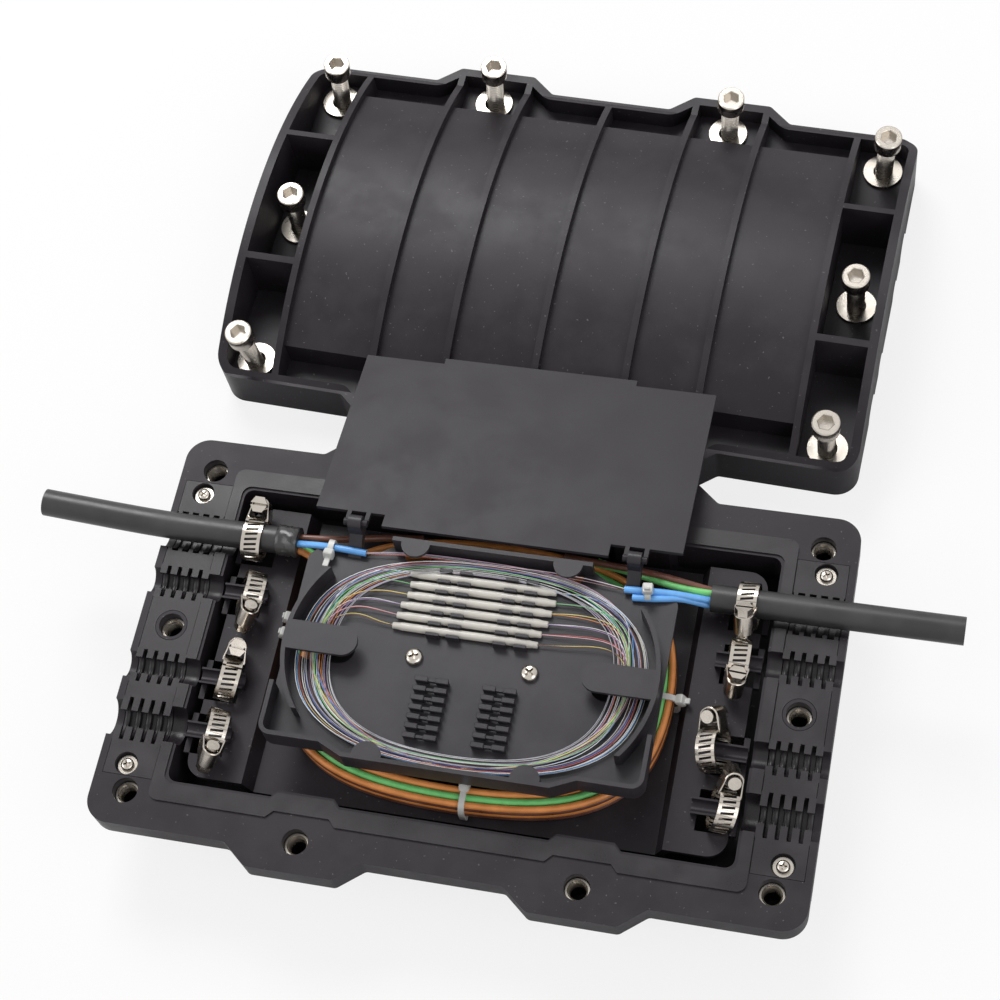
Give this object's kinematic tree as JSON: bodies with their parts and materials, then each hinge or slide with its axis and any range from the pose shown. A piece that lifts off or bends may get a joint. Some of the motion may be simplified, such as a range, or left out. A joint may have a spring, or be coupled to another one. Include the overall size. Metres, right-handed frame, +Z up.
{
  "type": "fibre distribution box",
  "caption": "Black inline fibre distribution box lying open: base with splice tray, cable clamps and rubber port seals, and its ribbed cover beside it.",
  "frame": {"origin": "centre of the flat underside of the base, on the surface it stands on", "axes": "+X along the cables to the right, +Y from the base towards the cover, +Z up"},
  "size_m": [0.3864, 0.4055, 0.0673],
  "materials": {
    "black_plastic": "fine grained moulded black plastic",
    "tray_plastic": "smooth moulded black plastic",
    "seal_rubber": "soft black rubber",
    "steel": "bright stainless steel",
    "cable_jacket": "smooth black cable jacket",
    "tape": "stretched black tape",
    "clear_sleeve": "translucent shrunk sleeve over a steel rod",
    "coated_fibre": "coloured fibre coatings",
    "loose_tube": "smooth coloured loose tubes"
  },
  "bodies": {
    "base": {"base_shell": "black_plastic", "base_inserts": "steel", "gasket": "seal_rubber", "port_seal_left": "seal_rubber", "port_seal_right": "seal_rubber", "seal_screws": "steel", "seal_washers": "steel", "carrier": "black_plastic", "splice_tray": "tray_plastic", "tray_screws": "steel", "splice_protectors": "clear_sleeve", "fibre_loop": "coated_fibre", "slack_tubes": "loose_tube", "cable_left": "cable_jacket", "cable_right": "cable_jacket", "tape_wrap": "tape", "clamp_band_left_1": "steel", "clamp_band_left_2": "steel", "clamp_band_left_3": "steel", "clamp_band_left_4": "steel", "clamp_band_right_1": "steel", "clamp_band_right_2": "steel", "clamp_band_right_3": "steel", "clamp_band_right_4": "steel"},
    "tray_lid": {"tray_lid": "tray_plastic"},
    "cover": {"cover": "black_plastic", "cover_bolts": "steel", "cover_washers": "steel"},
    "clamp_screw_left_1": {"clamp_screw_left_1": "steel"},
    "clamp_screw_left_2": {"clamp_screw_left_2": "steel"},
    "clamp_screw_left_3": {"clamp_screw_left_3": "steel"},
    "clamp_screw_left_4": {"clamp_screw_left_4": "steel"},
    "clamp_screw_right_1": {"clamp_screw_right_1": "steel"},
    "clamp_screw_right_2": {"clamp_screw_right_2": "steel"},
    "clamp_screw_right_3": {"clamp_screw_right_3": "steel"},
    "clamp_screw_right_4": {"clamp_screw_right_4": "steel"}
  },
  "joints": [
    {"name": "tray_lid_hinge", "type": "hinge", "parent": "base", "child": "tray_lid", "pos_m": [0, 0.0475, 0.0642], "axis": [1, 0, 0], "range_deg": [0, 191]},
    {"name": "cover_slide", "type": "slide", "parent": "base", "child": "cover", "axis": [0, 1, 0], "range_m": [0, 0.15]},
    {"name": "clamp_screw_left_1_turn", "type": "hinge", "parent": "base", "child": "clamp_screw_left_1", "pos_m": [-0.10381, 0.05575, 0.04775], "axis": [0.0682, -0.2079, 0.9758], "continuous": true},
    {"name": "clamp_screw_left_2_turn", "type": "hinge", "parent": "base", "child": "clamp_screw_left_2", "pos_m": [-0.09795, 0.00742, 0.04802], "axis": [-0.3591, -0.4695, -0.8066], "continuous": true},
    {"name": "clamp_screw_left_3_turn", "type": "hinge", "parent": "base", "child": "clamp_screw_left_3", "pos_m": [-0.09879, -0.00683, 0.047], "axis": [0.3171, -0.3746, 0.8713], "continuous": true},
    {"name": "clamp_screw_left_4_turn", "type": "hinge", "parent": "base", "child": "clamp_screw_left_4", "pos_m": [-0.09795, -0.05448, 0.04802], "axis": [-0.3591, -0.4695, -0.8066], "continuous": true},
    {"name": "clamp_screw_right_1_turn", "type": "hinge", "parent": "base", "child": "clamp_screw_right_1", "pos_m": [0.10361, 0.03164, 0.05236], "axis": [-0.0434, 0.5592, 0.8279], "continuous": true},
    {"name": "clamp_screw_right_2_turn", "type": "hinge", "parent": "base", "child": "clamp_screw_right_2", "pos_m": [0.1037, 0.00683, 0.04725], "axis": [0.129, 0.3746, 0.9182], "continuous": true},
    {"name": "clamp_screw_right_3_turn", "type": "hinge", "parent": "base", "child": "clamp_screw_right_3", "pos_m": [0.09736, -0.00742, 0.04819], "axis": [0.302, 0.4695, -0.8297], "continuous": true},
    {"name": "clamp_screw_right_4_turn", "type": "hinge", "parent": "base", "child": "clamp_screw_right_4", "pos_m": [0.10915, -0.03248, 0.05046], "axis": [-0.2367, 0.6428, -0.7286], "continuous": true}
  ]
}
